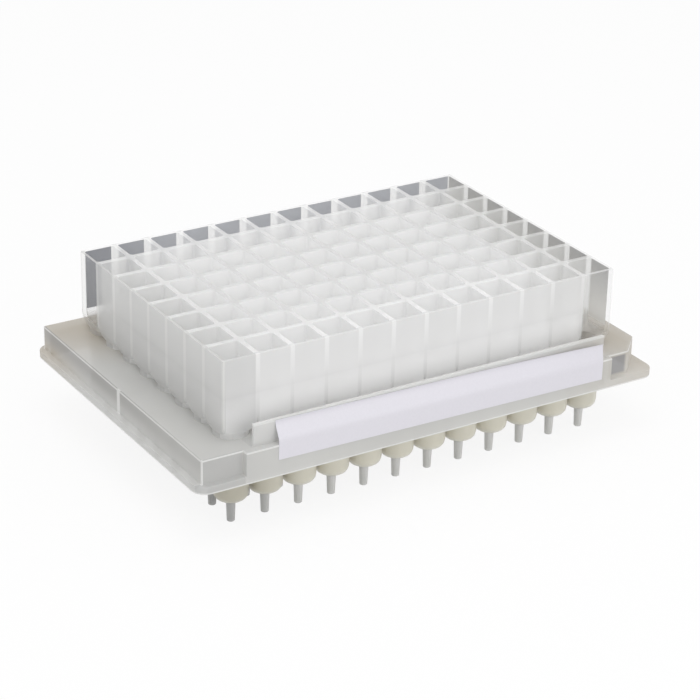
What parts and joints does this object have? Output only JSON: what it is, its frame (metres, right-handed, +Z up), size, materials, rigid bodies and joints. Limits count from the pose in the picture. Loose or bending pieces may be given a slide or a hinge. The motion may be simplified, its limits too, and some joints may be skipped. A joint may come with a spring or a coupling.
{
  "type": "solid phase extraction plate",
  "caption": "Moulded extraction plate with square wells over round barrels, a drip nozzle under each, sorbent discs inside and a skirted deck with a bare front label",
  "frame": {"origin": "under the middle of the plate, at the level of the nozzle tips that it stands on", "axes": "+X along the long side, +Y from the labelled side to the back, +Z up out of the wells"},
  "size_m": [0.1278, 0.0856, 0.0434],
  "materials": {
    "natural_polypropylene": "satin",
    "sorbent_membrane": "matte",
    "label_film": "satin"
  },
  "bodies": {
    "root": {"well_plate": "natural_polypropylene", "sorbent_discs_column_01": "sorbent_membrane", "sorbent_discs_column_02": "sorbent_membrane", "sorbent_discs_column_03": "sorbent_membrane", "sorbent_discs_column_04": "sorbent_membrane", "sorbent_discs_column_05": "sorbent_membrane", "sorbent_discs_column_06": "sorbent_membrane", "sorbent_discs_column_07": "sorbent_membrane", "sorbent_discs_column_08": "sorbent_membrane", "sorbent_discs_column_09": "sorbent_membrane", "sorbent_discs_column_10": "sorbent_membrane", "sorbent_discs_column_11": "sorbent_membrane", "sorbent_discs_column_12": "sorbent_membrane", "label": "label_film"}
  },
  "joints": []
}
